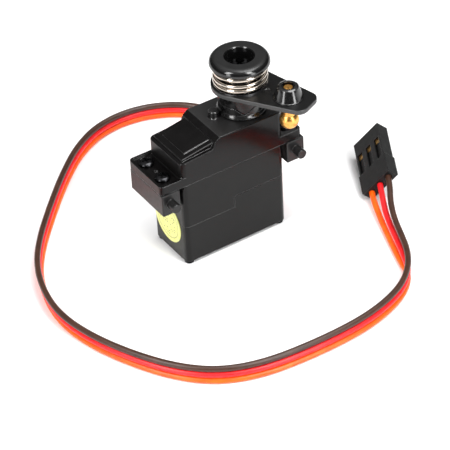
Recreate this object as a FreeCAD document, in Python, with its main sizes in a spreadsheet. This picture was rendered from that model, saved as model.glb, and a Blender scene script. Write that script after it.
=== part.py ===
import FreeCAD, Part
import math
import os

import Sketcher
from FreeCAD import Placement, Rotation, Vector

# Sub-micro hobby servo with a servo saver, a ball stud and a three-wire lead.
# Millimetres. +Z is up along the output axis, +X is towards the output end of
# the case and +Y is towards the back. The origin is on the standing surface,
# below the middle of the box around the case, ears and horn.

doc = FreeCAD.newDocument("HobbyServo")
sheet = doc.addObject("Spreadsheet::Sheet", "Dims")

# ---------------------------------------------------------------- dimensions
DIMS = [
    # case
    ("case_left", -11.56), ("case_right", 11.44), ("case_front", -1.15), ("case_back", 10.38),
    ("foot_height", 0.59), ("wall", 1.0), ("corner_round", 1.1), ("post_size", 2.0),
    ("floor_top", 1.55), ("seam_low", 9.10), ("seam_high", 11.63), ("seam_step", -0.14),
    ("seam_gap", 0.13), ("seam_top", 18.94), ("gear_floor", 17.40), ("screw_inset", 1.13),
    # upper case
    ("rim_left", 24.08), ("rim_right_x", -4.35), ("rim_right", 24.64), ("step_x", -3.75),
    ("step_height", 25.93), ("deck_left", -2.70), ("deck_height", 26.76), ("panel_inset", 0.82),
    ("panel_left", -10.80), ("panel_left_top", 24.58), ("panel_right", -3.76), ("panel_right_top", 25.70),
    ("plate_left", -9.60), ("plate_left_top", 24.98), ("plate_right", -4.00), ("plate_right_top", 25.80), ("plate_inset", 1.95),
    ("gear_ceiling", 24.90), ("bearing_seat_top", 26.40), ("bearing_seat_round", 3.05), ("neck_hole", 2.40),
    ("output_pocket", 4.85), ("idler_pocket", 4.55), ("motor_pocket", 2.30), ("motor_pocket_top", 21.2),
    ("boss_round", 0.98), ("boss_top", 28.28), ("boss_edge", 0.26), ("boss_foot", 0.28), ("panel_edge", 0.14), ("plate_edge", 0.10),
    # ears
    ("ear_low", 18.97), ("ear_high", 20.86), ("ear_left", -16.24), ("ear_right", 15.70),
    ("ear_round", 0.85), ("ear_lip", 0.55), ("ear_dish", 0.32), ("ear_screw_half_gap", 2.89),
    ("left_screw_x", -14.01), ("right_screw_x", 13.60), ("ear_ring_round", 0.55),
    # mount blocks
    ("block_low", 13.95), ("block_high", 18.76), ("lblock_left", -16.07), ("lblock_right", -12.10),
    ("rblock_left", 12.22), ("rblock_right", 16.22), ("peg_round", 0.98), ("peg_length", 2.16),
    ("peg_height", 16.46), ("lpeg_x", -14.20), ("rpeg_x", 14.31),
    # case screws and ear screws
    ("foot_round", 0.93), ("long_screw_round", 0.48), ("long_screw_hole", 0.50), ("long_screw_top", 21.6),
    ("ear_head_round", 1.47), ("ear_head_height", 0.85), ("ear_shank_round", 0.62), ("ear_shank_hole", 0.66),
    ("ear_shank_low", 14.9),
    # output axis and idler pin
    ("axis_x", 6.03), ("axis_y", 4.615), ("idler_x", 0.060), ("idler_y", 5.215), ("motor_x", -5.085),
    ("pin_round", 0.50), ("pin_hole", 0.51), ("pin_low", 17.6), ("pin_high", 26.3),
    # gears: module and number of teeth, then levels
    ("module_fine", 0.25), ("module_first", 0.28), ("module_last", 0.30),
    ("teeth_pinion", 9), ("teeth_first_big", 28), ("teeth_first_small", 12), ("teeth_second_big", 36),
    ("teeth_second_small", 15), ("teeth_third_big", 33), ("teeth_third_small", 10), ("teeth_output", 30),
    ("level_one_low", 19.15), ("level_one_high", 20.15), ("level_two_low", 20.40), ("level_two_high", 21.35),
    ("level_three_low", 21.60), ("level_three_high", 22.60), ("level_four_low", 22.90), ("level_four_high", 24.30),
    ("gear_bore", 0.55), ("second_bore", 1.20),
    # output shaft, bearing
    ("shaft_low", 17.20), ("shaft_low_round", 1.15), ("shaft_hole", 1.20), ("shaft_round", 1.75),
    ("shaft_high", 30.45), ("drive_bore", 0.72), ("drive_bore_top", 19.2), ("screw_bore", 0.97),
    ("race_low", 24.95), ("race_high", 26.35), ("inner_race_out", 2.10), ("outer_race_in", 2.70),
    ("outer_race_out", 3.05), ("ball_path", 2.40), ("ball_round", 0.285),
    # motor
    ("motor_round", 4.10), ("motor_low", 5.0), ("motor_high", 17.20), ("motor_wall", 0.4),
    ("motor_boss_round", 1.3), ("motor_boss_top", 17.36), ("rotor_round", 3.2), ("rotor_low", 6.6),
    ("rotor_high", 15.8), ("motor_shaft_round", 0.5), ("motor_shaft_low", 4.3), ("motor_shaft_high", 20.35),
    ("end_cap_low", 3.95),
    # circuit board, potentiometer
    ("board_left", -8.3), ("board_right", 8.1), ("board_front", 0.3), ("board_back", 8.9),
    ("board_low", 2.2), ("board_high", 3.0), ("pot_round", 3.6), ("pot_low", 9.6), ("pot_high", 14.6),
    ("pot_wall", 0.7), ("wiper_round", 2.5), ("wiper_low", 11.4), ("wiper_high", 12.0), ("pot_shaft_round", 0.70),
    ("pot_shaft_top", 19.0),
    # servo saver
    ("hub_low", 26.86), ("hub_high", 29.26), ("hub_round", 4.50), ("hub_edge", 0.14), ("post_round", 3.20),
    ("flange_round", 4.88), ("flange_high", 27.74), ("flange_edge", 0.46),
    ("post_high", 35.80), ("hub_bore", 1.76), ("hub_bore_top", 30.50), ("screw_pass", 1.0),
    ("vee_half", 1.86), ("vee_tip", 28.02), ("vee_play", 0.09),
    ("arm_low", 31.95), ("arm_high", 32.83), ("arm_round", 5.68), ("arm_bore", 3.25), ("cam_low", 29.36),
    ("arm_angle", -66.2), ("arm_end", 15.58), ("arm_end_half", 3.09), ("arm_tangent_x", 0.972),
    ("arm_tangent_y", 5.596), ("arm_corner", 1.95), ("vee_turn", -48.6), ("stud_reach", 10.62),
    ("stud_hole", 0.92), ("dimple_reach", 6.25), ("dimple_side", -0.35), ("dimple_round", 0.72), ("dimple_depth", 0.15),
    # washer, spring, cap, screw
    ("washer_low", 32.87), ("washer_high", 33.07), ("washer_in", 3.30), ("washer_out", 5.25),
    ("spring_round", 4.87), ("wire_round", 0.42), ("spring_turns", 2.5),
    ("cap_neck_low", 34.30), ("cap_neck_round", 4.0), ("cap_under", 36.65), ("cap_under_round", 4.95),
    ("cap_round", 5.84), ("cap_wide_low", 36.98), ("cap_wide_high", 37.22), ("cap_edge", 1.30), ("cap_top", 38.58),
    ("cap_hole", 2.81), ("cap_hole_mouth", 2.98), ("horn_head_round", 2.15), ("horn_head_top", 36.95),
    ("horn_shank_round", 0.95), ("horn_shank_low", 28.6),
    # ball stud and nut
    ("ball_size", 1.88), ("ball_height", 27.70), ("neck_round", 1.30), ("collar_round", 1.85), ("collar_low", 31.15),
    ("collar_taper", 30.55), ("stud_round", 0.90), ("stud_top", 35.05), ("nut_base", 2.94), ("nut_lip", 0.16),
    ("nut_waist", 2.80), ("nut_top_round", 1.66), ("nut_high", 35.36), ("nut_hole", 1.22), ("nut_hole_low", 34.3),
    # round label
    ("label_y", 5.02), ("label_height", 7.25), ("label_round", 4.46), ("label_thick", 0.10),
    # grommet and lead
    ("grommet_y", 6.20), ("grommet_height", 3.54), ("grommet_half_y", 0.95), ("grommet_half_height", 1.95),
    ("grommet_in", 9.6), ("grommet_out", 12.30), ("grommet_flange", 0.35), ("lead_round", 0.60), ("lead_pitch", 1.24),
    # three-way connector, 2.54 mm pitch
    ("plug_wide", 7.92), ("plug_long", 14.50), ("plug_thick", 2.62), ("plug_pitch", 2.54),
    ("plug_shoulder", 9.35), ("plug_step", 0.29), ("socket_size", 0.95), ("slot_wide", 1.40), ("slot_start", 3.75), ("slot_end", 9.4),
    ("slot_depth", 0.95), ("contact_size", 0.88), ("contact_long", 12.4), ("lance_wide", 1.24), ("lance_long", 1.25), ("lance_low", 0.30), ("tongue_start", 5.15), ("tongue_low", 0.32),
]


class Q:
    """A size with the spreadsheet expression that gives it."""

    def __init__(self, value, text):
        self.value, self.text = float(value), text

    @staticmethod
    def of(x):
        return x if isinstance(x, Q) else Q(x, repr(round(float(x), 6)))

    def _join(self, other, value, sign):
        return Q(value, "(%s %s %s)" % (self.text, sign, other.text))

    def __add__(self, other):
        other = Q.of(other)
        return self._join(other, self.value + other.value, "+")

    def __radd__(self, other):
        return Q.of(other) + self

    def __sub__(self, other):
        other = Q.of(other)
        return self._join(other, self.value - other.value, "-")

    def __rsub__(self, other):
        return Q.of(other) - self

    def __mul__(self, other):
        other = Q.of(other)
        return self._join(other, self.value * other.value, "*")

    def __rmul__(self, other):
        return Q.of(other) * self

    def __truediv__(self, other):
        other = Q.of(other)
        return self._join(other, self.value / other.value, "/")

    def __neg__(self):
        return Q(-self.value, "(0 - %s)" % self.text)


SIZE = {}
for row, (word, value) in enumerate(DIMS, 1):
    sheet.set("A%d" % row, word)
    sheet.set("B%d" % row, repr(float(value)) if value >= 0 else "=" + repr(float(value)))
    sheet.setAlias("B%d" % row, word)
    SIZE[word] = Q(value, "Dims." + word)
doc.recompute()


def d(word):
    return SIZE[word]


def val(q):
    return Q.of(q).value


# ------------------------------------------------------------------- helpers
def bind(obj, prop, q):
    obj.setExpression(prop, Q.of(q).text)


def place(obj, x=0, y=0, z=0, angle=None, axis=Vector(0, 0, 1)):
    turn = Rotation(axis, val(angle)) if angle is not None else Rotation()
    obj.Placement = Placement(Vector(val(x), val(y), val(z)), turn)
    for prop, q in (("x", x), ("y", y), ("z", z)):
        if isinstance(q, Q):
            bind(obj, "Placement.Base." + prop, q)
    if isinstance(angle, Q):
        bind(obj, "Placement.Rotation.Angle", angle)


def new_body(label, **where):
    body = doc.addObject("PartDesign::Body", "Body_" + label)
    body.Label = label
    place(body, **where)
    return body


def sketch_on(body, role="XY_Plane", height=0, side=0, turn=0):
    """A sketch on one of the body's own origin planes.

    height moves it along Z on XY_Plane, and side moves it along the plane's X."""
    name = "Sketch_%s_%d" % (body.Label, len(body.Group))
    sk = body.newObject("Sketcher::SketchObject", name)
    base = [o for o in body.Origin.OriginFeatures if o.Role == role][0]
    sk.AttachmentSupport = [(base, "")]
    sk.MapMode = "FlatFace"
    spin = Rotation(Vector(0, 1, 0), turn) if role == "XZ_Plane" else Rotation(Vector(0, 0, 1), turn)
    sk.AttachmentOffset = Placement(Vector(val(side), 0, val(height)), spin)
    if isinstance(height, Q):
        bind(sk, "AttachmentOffset.Base.z", height)
    if isinstance(side, Q):
        bind(sk, "AttachmentOffset.Base.x", side)
    return sk


def fix_point(sk, geo, pos, x, y):
    """Holds a point at x, y with named, bound dimensions."""
    for kind, q, line in (("DistanceX", x, -2), ("DistanceY", y, -1)):
        if abs(val(q)) < 1e-9:
            sk.addConstraint(Sketcher.Constraint("PointOnObject", geo, pos, line))
        else:
            i = sk.addConstraint(Sketcher.Constraint(kind, -1, 1, geo, pos, val(q)))
            name = "%s%d_%d" % ("x" if kind[-1] == "X" else "y", geo, pos)
            sk.renameConstraint(i, name)
            if isinstance(q, Q):
                sk.setExpression("Constraints." + name, q.text)


def polygon(sk, points):
    first = sk.GeometryCount
    n = len(points)
    for i in range(n):
        (a, b), (c, e) = points[i], points[(i + 1) % n]
        sk.addGeometry(Part.LineSegment(Vector(val(a), val(b), 0), Vector(val(c), val(e), 0)), False)
    for i in range(n):
        sk.addConstraint(Sketcher.Constraint("Coincident", first + i, 2, first + (i + 1) % n, 1))
    for i, (x, y) in enumerate(points):
        fix_point(sk, first + i, 1, x, y)


def circle(sk, x, y, radius):
    geo = sk.addGeometry(Part.Circle(Vector(val(x), val(y), 0), Vector(0, 0, 1), val(radius)), False)
    if abs(val(x)) < 1e-9 and abs(val(y)) < 1e-9:
        sk.addConstraint(Sketcher.Constraint("Coincident", geo, 3, -1, 1))
    else:
        fix_point(sk, geo, 3, x, y)
    i = sk.addConstraint(Sketcher.Constraint("Radius", geo, val(radius)))
    sk.renameConstraint(i, "r%d" % geo)
    if isinstance(radius, Q):
        sk.setExpression("Constraints.r%d" % geo, radius.text)


def rectangle(sk, x0, y0, x1, y1):
    polygon(sk, [(x0, y0), (x1, y0), (x1, y1), (x0, y1)])


def feature(body, kind, sk, length=None, both=False, back=False, through=False):
    f = body.newObject("PartDesign::" + kind, "%s_%s_%d" % (kind, body.Label, len(body.Group)))
    f.Profile = sk
    if through:
        f.Type = 1
    if length is not None:
        f.Length = val(length)
        if isinstance(length, Q):
            bind(f, "Length", length)
    if both:
        f.SideType = "Symmetric"
    if back:
        f.Reversed = True
    body.Tip = f
    return f


def pad(body, sk, length, both=False, back=False):
    return feature(body, "Pad", sk, length, both, back)


def pocket(body, sk, length=None, both=False, back=False, through=False):
    """A cut. It checks that the solid really got smaller."""
    doc.recompute()
    before = body.Shape.Volume
    f = feature(body, "Pocket", sk, length, both, back, through)
    doc.recompute()
    if not body.Shape.Volume < before - 1e-7:
        raise RuntimeError("pocket %s cut nothing" % f.Name)
    return f


def spun(body, sk, kind="Revolution", axis="V_Axis"):
    f = body.newObject("PartDesign::" + kind, "%s_%s_%d" % (kind, body.Label, len(body.Group)))
    f.Profile = sk
    f.ReferenceAxis = (sk, [axis])
    f.Angle = 360
    body.Tip = f
    return f


def dress(body, kind, size, pick):
    """A fillet or chamfer on the edges that pick chooses."""
    doc.recompute()
    base = body.Tip
    names = ["Edge%d" % i for i, e in enumerate(base.Shape.Edges, 1) if pick(e)]
    if not names:
        raise RuntimeError("no edges chosen on " + body.Label)
    f = body.newObject("PartDesign::" + kind, "%s_%s_%d" % (kind, body.Label, len(body.Group)))
    f.Base = (base, names)
    prop = "Radius" if kind == "Fillet" else "Size"
    setattr(f, prop, val(size))
    if isinstance(size, Q):
        bind(f, prop, size)
    body.Tip = f
    doc.recompute()
    return f


def straight(e):
    return e.Curve.TypeId == "Part::GeomLine"


def upright(e):
    v = e.Vertexes
    return len(v) == 2 and straight(e) and abs(v[0].X - v[1].X) < 1e-6 and abs(v[0].Y - v[1].Y) < 1e-6


def near(a, b, tol=1e-4):
    return abs(a - val(b)) < tol


def at_corner(e, x0, x1, y0, y1):
    v = e.Vertexes[0]
    return (near(v.X, x0) or near(v.X, x1)) and (near(v.Y, y0) or near(v.Y, y1))


def level(e, z):
    b = e.BoundBox
    return abs(b.ZMin - val(z)) < 1e-4 and abs(b.ZMax - val(z)) < 1e-4


PARTS = []


def keep(obj):
    PARTS.append(obj)
    return obj


CORNERS = [
    (d("case_left") + d("screw_inset"), d("case_front") + d("screw_inset")),
    (d("case_right") - d("screw_inset"), d("case_front") + d("screw_inset")),
    (d("case_left") + d("screw_inset"), d("case_back") - d("screw_inset")),
    (d("case_right") - d("screw_inset"), d("case_back") - d("screw_inset")),
]


def cavity_outline(sk):
    """The inside of the lower case: a rectangle with a screw post in each corner."""
    x0, x1 = d("case_left") + d("wall"), d("case_right") - d("wall")
    y0, y1 = d("case_front") + d("wall"), d("case_back") - d("wall")
    p = d("post_size")
    polygon(sk, [
        (x0 + p, y0), (x1 - p, y0), (x1 - p, y0 + p), (x1, y0 + p), (x1, y1 - p), (x1 - p, y1 - p),
        (x1 - p, y1), (x0 + p, y1), (x0 + p, y1 - p), (x0, y1 - p), (x0, y0 + p), (x0 + p, y0 + p),
    ])


# --------------------------------------------------------------- lower shell
# The bottom cover is a tray with a stepped edge: high at the output end and
# low at the motor end.
cover = new_body("bottom_cover")
sk = sketch_on(cover, height=d("foot_height"))
rectangle(sk, d("case_left"), d("case_front"), d("case_right"), d("case_back"))
pad(cover, sk, d("seam_high") - d("foot_height"))
dress(cover, "Fillet", d("corner_round"), upright)
dress(cover, "Fillet", 0.25, lambda e: level(e, d("foot_height")))
sk = sketch_on(cover, height=d("floor_top"))
cavity_outline(sk)
pocket(cover, sk, d("seam_high") - d("floor_top") + 1, back=True)
sk = sketch_on(cover, height=d("seam_low"))
rectangle(sk, d("case_left") - 1, d("case_front") - 1, d("seam_step"), d("case_back") + 1)
pocket(cover, sk, d("seam_high") - d("seam_low") + 1, back=True)
sk = sketch_on(cover, height=0)
for x, y in CORNERS:
    circle(sk, x, y, d("long_screw_hole"))
pocket(cover, sk, d("seam_high") + 2, back=True)
sk = sketch_on(cover, height=d("grommet_height") - d("grommet_half_height"))
rectangle(sk, d("case_right") - 2, d("grommet_y") - d("grommet_half_y"), d("case_right") + 1, d("grommet_y") + d("grommet_half_y"))
pocket(cover, sk, d("grommet_half_height") * 2, back=True)
keep(cover)

# -------------------------------------------------------------- middle shell
middle = new_body("middle_case")
sk = sketch_on(middle, "XZ_Plane", height=-d("axis_y"))
polygon(sk, [
    (d("case_left"), d("seam_low")), (d("seam_step") - d("seam_gap"), d("seam_low")),
    (d("seam_step") - d("seam_gap"), d("seam_high") + d("seam_gap")), (d("case_right"), d("seam_high") + d("seam_gap")),
    (d("case_right"), d("seam_top") - 0.05), (d("case_left"), d("seam_top") - 0.05),
])
pad(middle, sk, d("case_back") - d("case_front"), both=True)
dress(middle, "Fillet", d("corner_round"), lambda e: upright(e) and at_corner(e, d("case_left"), d("case_right"), d("case_front"), d("case_back")))
sk = sketch_on(middle, height=d("seam_low") - 1)
cavity_outline(sk)
pocket(middle, sk, d("gear_floor") - d("seam_low") + 1, back=True)
sk = sketch_on(middle, height=d("seam_low") - 1)
for x, y in CORNERS:
    circle(sk, x, y, d("long_screw_hole"))
circle(sk, d("axis_x"), d("axis_y"), d("shaft_hole"))
circle(sk, d("motor_x"), d("axis_y"), d("motor_shaft_round") + 0.3)
circle(sk, d("idler_x"), d("idler_y"), d("pin_hole"))
pocket(middle, sk, 12, back=True)
keep(middle)

# --------------------------------------------------------------- upper shell
# A sloping lid over the motor with a raised panel, a step up to a flat deck
# over the gears, and an ear at each end.
upper = new_body("upper_case")
sk = sketch_on(upper, "XZ_Plane", height=-d("axis_y"))
polygon(sk, [
    (d("case_left"), d("ear_low")), (d("case_right"), d("ear_low")), (d("case_right"), d("deck_height")),
    (d("deck_left"), d("deck_height")), (d("step_x"), d("step_height")), (d("rim_right_x"), d("rim_right")),
    (d("case_left"), d("rim_left")),
])
pad(upper, sk, d("case_back") - d("case_front"), both=True)
dress(upper, "Fillet", d("corner_round"), lambda e: upright(e) and at_corner(e, d("case_left"), d("case_right"), d("case_front"), d("case_back")))
# the deck's edges and the lid's rim are slightly rounded
dress(upper, "Fillet", 0.22, lambda e: e.BoundBox.ZMin > val(d("rim_left")) - 1e-3 and not upright(e)
      and not (straight(e) and e.BoundBox.YLength > 8 and e.BoundBox.XMax < val(d("deck_left")) - 0.5 and e.BoundBox.XMin > val(d("case_left")) + 0.1))
sk = sketch_on(upper, "XZ_Plane", height=-d("axis_y"))
polygon(sk, [
    (d("panel_left"), d("rim_left") - 1), (d("panel_right") + 0.5, d("rim_left") - 1), (d("panel_right"), d("panel_right_top")),
    (d("panel_left"), d("panel_left_top")),
])
pad(upper, sk, d("case_back") - d("case_front") - d("panel_inset") * 2, both=True)
# the panel's edges are rounded, and a flat plate stands a little above the middle of it
dress(upper, "Fillet", d("panel_edge"), lambda e: near(e.BoundBox.ZMin, d("panel_left_top"), 0.02) and (
    (e.BoundBox.YLength < 1e-4 and e.BoundBox.XLength > 5) or (e.BoundBox.YLength > 8 and near(e.BoundBox.XMax, d("panel_left"), 0.02))))
sk = sketch_on(upper, "XZ_Plane", height=-d("axis_y"))
polygon(sk, [
    (d("plate_left"), d("rim_left")), (d("plate_right"), d("rim_left")), (d("plate_right"), d("plate_right_top")),
    (d("plate_left"), d("plate_left_top")),
])
pad(upper, sk, d("case_back") - d("case_front") - d("plate_inset") * 2, both=True)
dress(upper, "Fillet", d("plate_edge"), lambda e: near(e.BoundBox.ZMin, d("plate_left_top"), 0.02) and (
    (e.BoundBox.YLength < 1e-4 and e.BoundBox.XLength > 5) or (e.BoundBox.YLength > 6 and near(e.BoundBox.XMax, d("plate_left"), 0.02))))
for low, high, lip_a, lip_b in (
    (d("ear_left"), d("case_left") + 1.5, d("ear_left") + d("ear_lip"), d("case_left") + 0.0),
    (d("case_right") - 1.5, d("ear_right"), d("case_right") + 0.0, d("ear_right") - d("ear_lip")),
):
    sk = sketch_on(upper, height=d("ear_low"))
    rectangle(sk, low, d("case_front"), high, d("case_back"))
    pad(upper, sk, d("ear_high") - d("ear_low"))
dress(upper, "Fillet", d("ear_round"), lambda e: upright(e) and at_corner(e, d("ear_left"), d("ear_right"), d("case_front"), d("case_back")))
for lip_a, lip_b in ((d("ear_left") + d("ear_lip"), d("case_left") + 0.0), (d("case_right") + 0.0, d("ear_right") - d("ear_lip"))):
    sk = sketch_on(upper, height=d("ear_high") - d("ear_dish"))
    rectangle(sk, lip_a, d("case_front") + d("ear_lip"), lip_b, d("case_back") - d("ear_lip"))
    pocket(upper, sk, 0.6, back=True)
# small ring between the ear screws
sk = sketch_on(upper, height=d("ear_high") - d("ear_dish") - 0.1)
circle(sk, d("left_screw_x") + 0.35, d("axis_y"), d("ear_ring_round"))
circle(sk, d("right_screw_x") - 0.35, d("axis_y"), d("ear_ring_round"))
pad(upper, sk, 0.35)
# hollow inside: round pockets for the gears and a box over the motor
for x, y, r, top in (
    (d("axis_x"), d("axis_y"), d("output_pocket"), d("gear_ceiling")),
    (d("idler_x"), d("idler_y"), d("idler_pocket"), d("gear_ceiling")),
    (d("motor_x"), d("axis_y"), d("motor_pocket"), d("motor_pocket_top")),
    (d("axis_x"), d("axis_y"), d("bearing_seat_round"), d("bearing_seat_top")),
    (d("axis_x"), d("axis_y"), d("neck_hole"), d("deck_height") + 1),
    (d("idler_x"), d("idler_y"), d("pin_hole"), d("pin_high") + 0.05),
):
    sk = sketch_on(upper, height=d("ear_low") - 1)
    circle(sk, x, y, r)
    pocket(upper, sk, top - d("ear_low") + 1, back=True)
sk = sketch_on(upper, height=d("ear_low") - 1)
rectangle(sk, d("case_left") + 1.0, d("case_front") + 2.6, d("idler_x") - 3, d("case_back") - 2.6)
pocket(upper, sk, 4.6, back=True)
sk = sketch_on(upper, height=d("ear_low") - 1)
for x, y in CORNERS:
    circle(sk, x, y, d("long_screw_hole"))
pocket(upper, sk, d("long_screw_top") - d("ear_low") + 1.1, back=True)
sk = sketch_on(upper, height=d("ear_low") - 1)
for x in (d("left_screw_x"), d("right_screw_x")):
    for sign in (-1, 1):
        circle(sk, x, d("axis_y") + d("ear_screw_half_gap") * sign, d("ear_shank_hole"))
pocket(upper, sk, 5, back=True)
# the pin boss stands on the deck
sk = sketch_on(upper, height=d("deck_height") - 0.2)
circle(sk, d("idler_x"), d("idler_y"), d("boss_round"))
pad(upper, sk, d("boss_top") - d("deck_height") + 0.2)
dress(upper, "Fillet", d("boss_edge"), lambda e: level(e, d("boss_top")))
dress(upper, "Fillet", d("boss_foot"), lambda e: level(e, d("deck_height")) and abs(e.BoundBox.XLength - 2 * val(d("boss_round"))) < 0.02)
keep(upper)

# -------------------------------------------------------------- case screws
# Long screws come in from below; their heads are the four feet.
for i, (x, y) in enumerate(CORNERS, 1):
    b = new_body("case_screw_%d" % i, x=x, y=y)
    sk = sketch_on(b, "XZ_Plane")
    polygon(sk, [
        (0, 0), (d("foot_round") - 0.15, 0), (d("foot_round"), 0.15), (d("foot_round"), d("foot_height")),
        (d("long_screw_round"), d("foot_height")), (d("long_screw_round"), d("long_screw_top") - 0.5), (0, d("long_screw_top")),
    ])
    spun(b, sk)
    sk = sketch_on(b, height=0)
    polygon(sk, [(-0.5, -0.12), (0.5, -0.12), (0.5, 0.12), (-0.5, 0.12)])
    pocket(b, sk, 0.25, back=True)
    keep(b)

# -------------------------------------------------------------- mount blocks
for label, x0, x1, peg in (
    ("left_mount_block", d("lblock_left"), d("lblock_right"), d("lpeg_x")),
    ("right_mount_block", d("rblock_left"), d("rblock_right"), d("rpeg_x")),
):
    b = new_body(label)
    sk = sketch_on(b, height=d("block_low"))
    rectangle(sk, x0, d("case_front"), x1, d("case_back"))
    pad(b, sk, d("block_high") - d("block_low"))
    dress(b, "Fillet", 0.3, lambda e: True)
    sk = sketch_on(b, "XZ_Plane", height=-d("case_front") - 0.3)
    circle(sk, peg, d("peg_height"), d("peg_round"))
    pad(b, sk, d("peg_length") + 0.3)
    doc.recompute()
    front = val(d("case_front")) - val(d("peg_length"))
    dress(b, "Chamfer", 0.12, lambda e: abs(e.BoundBox.YMin - front) < 1e-4 and abs(e.BoundBox.YMax - front) < 1e-4)
    sk = sketch_on(b, height=d("ear_shank_low") - 0.1)
    sx = d("left_screw_x") if label[0] == "l" else d("right_screw_x")
    for sign in (-1, 1):
        circle(sk, sx, d("axis_y") + d("ear_screw_half_gap") * sign, d("ear_shank_hole"))
    pocket(b, sk, 6, back=True)
    keep(b)

# ---------------------------------------------------------------- ear screws
n = 0
for x in (d("left_screw_x"), d("right_screw_x")):
    for sign in (-1, 1):
        n += 1
        seat = d("ear_high") - d("ear_dish")
        b = new_body("ear_screw_%d" % n, x=x, y=d("axis_y") + d("ear_screw_half_gap") * sign)
        sk = sketch_on(b, "XZ_Plane")
        r, top = d("ear_head_round"), seat + d("ear_head_height")
        polygon(sk, [
            (0, d("ear_shank_low")), (d("ear_shank_round"), d("ear_shank_low") + 0.4), (d("ear_shank_round"), seat),
            (r, seat), (r, seat + 0.38), (r - 0.14, seat + 0.6), (r - 0.45, top - 0.08), (0, top),
        ])
        spun(b, sk)
        for turn in (20 + 31 * n, 110 + 31 * n):
            sk = sketch_on(b, height=top - 0.45, turn=turn)
            polygon(sk, [(-0.85, -0.17), (0.85, -0.17), (0.85, 0.17), (-0.85, 0.17)])
            pocket(b, sk, 1.0, back=True)
        keep(b)


# --------------------------------------------------------------------- gears
def trim(module):
    return module * 0.8, module * 1.15


def toothed(body, low, high, module, teeth, point, bore=None, through_root=True):
    """One toothed ring: a root disc, one tooth and its polar pattern.

    point is the direction in degrees of the middle of one tooth."""
    pitch = module * teeth / 2
    root, tip = pitch - module * 1.15, pitch + module * 0.8
    sk = sketch_on(body, height=low)
    circle(sk, 0, 0, root)
    pad(body, sk, high - low)
    sk = sketch_on(body, height=low, turn=point)
    quarter = module * (math.pi / 4)
    inner = root - 0.12
    polygon(sk, [
        (inner, -(quarter * 1.05)), (root + module * 0.25, -(quarter * 0.98)), (pitch, -(quarter * 0.72)), (tip, -(quarter * 0.34)),
        (tip, quarter * 0.34), (pitch, quarter * 0.72), (root + module * 0.25, quarter * 0.98), (inner, quarter * 1.05),
    ])
    tooth = pad(body, sk, high - low)
    doc.recompute()
    around = body.newObject("PartDesign::PolarPattern", "PolarPattern_%s_%d" % (body.Label, len(body.Group)))
    around.Originals = [tooth]
    around.Axis = (sk, ["N_Axis"])
    around.Angle = 360
    around.Occurrences = int(round(val(teeth)))
    around.setExpression("Occurrences", teeth.text)
    body.Tip = around
    doc.recompute()


def drill(body, radius, low, high):
    sk = sketch_on(body, height=low)
    circle(sk, 0, 0, radius)
    pocket(body, sk, high - low, back=True)


def heading(x0, y0, x1, y1):
    return math.degrees(math.atan2(y1 - y0, x1 - x0))


AX, AY = val(d("axis_x")), val(d("axis_y"))
IX, IY = val(d("idler_x")), val(d("idler_y"))
MX = val(d("motor_x"))
to_idler = heading(MX, AY, IX, IY)  # motor to idler pin
to_output = heading(IX, IY, AX, AY)  # idler pin to output axis


def gap_at(direction, teeth):
    """Tooth direction that puts a gap at the given direction."""
    return direction + 180.0 / val(teeth)


# motor pinion, on the motor shaft
pinion = new_body("motor_pinion", x=d("motor_x"), y=d("axis_y"))
toothed(pinion, d("level_one_low"), d("level_one_high") + 0.1, d("module_first"), d("teeth_pinion"), to_idler)
drill(pinion, d("motor_shaft_round"), d("level_one_low") - 1, d("level_one_high") + 1)
keep(pinion)

# first compound gear, on the idler pin
first = new_body("first_gear", x=d("idler_x"), y=d("idler_y"))
toothed(first, d("level_one_low"), d("level_one_high"), d("module_first"), d("teeth_first_big"), gap_at(to_idler + 180, d("teeth_first_big")))
toothed(first, d("level_one_high") - 0.05, d("level_two_high") + 0.08, d("module_fine"), d("teeth_first_small"), to_output)
drill(first, d("gear_bore"), d("level_one_low") - 1, d("level_two_high") + 1)
keep(first)

# second compound gear, free on the output shaft
second = new_body("second_gear", x=d("axis_x"), y=d("axis_y"))
toothed(second, d("level_two_low"), d("level_two_high"), d("module_fine"), d("teeth_second_big"), gap_at(to_output + 180, d("teeth_second_big")))
toothed(second, d("level_two_high") - 0.05, d("level_three_high"), d("module_fine"), d("teeth_second_small"), to_output + 180)
drill(second, d("second_bore"), d("level_two_low") - 1, d("level_three_high") + 1)
keep(second)

# third compound gear, on the idler pin above the first
third = new_body("third_gear", x=d("idler_x"), y=d("idler_y"))
toothed(third, d("level_three_low"), d("level_three_high"), d("module_fine"), d("teeth_third_big"), gap_at(to_output, d("teeth_third_big")))
toothed(third, d("level_three_high") - 0.05, d("level_four_high"), d("module_last"), d("teeth_third_small"), to_output)
drill(third, d("gear_bore"), d("level_three_low") - 1, d("level_four_high") + 1)
keep(third)

# output gear with its shaft: pot drive below, splined end above
output = new_body("output_gear", x=d("axis_x"), y=d("axis_y"))
toothed(output, d("level_four_low"), d("level_four_high"), d("module_last"), d("teeth_output"), gap_at(to_output + 180, d("teeth_output")))
sk = sketch_on(output, "XZ_Plane")
polygon(sk, [
    (0, d("shaft_low")), (d("shaft_low_round"), d("shaft_low")), (d("shaft_low_round"), d("level_four_low") - 0.1),
    (2.6, d("level_four_low") - 0.1), (2.6, d("level_four_high") + 0.35), (d("shaft_round"), d("level_four_high") + 0.35),
    (d("shaft_round"), d("shaft_high")), (0, d("shaft_high")),
])
spun(output, sk)
drill(output, d("drive_bore"), d("shaft_low") - 1, d("drive_bore_top"))
drill(output, d("screw_bore"), d("horn_shank_low") - 0.2, d("shaft_high") + 1)
keep(output)

# idler pin
pin = doc.addObject("Part::Cylinder", "IdlerPin")
pin.Label = "idler_pin"
bind(pin, "Radius", d("pin_round"))
bind(pin, "Height", d("pin_high") - d("pin_low"))
place(pin, d("idler_x"), d("idler_y"), d("pin_low"))
keep(pin)


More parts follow.
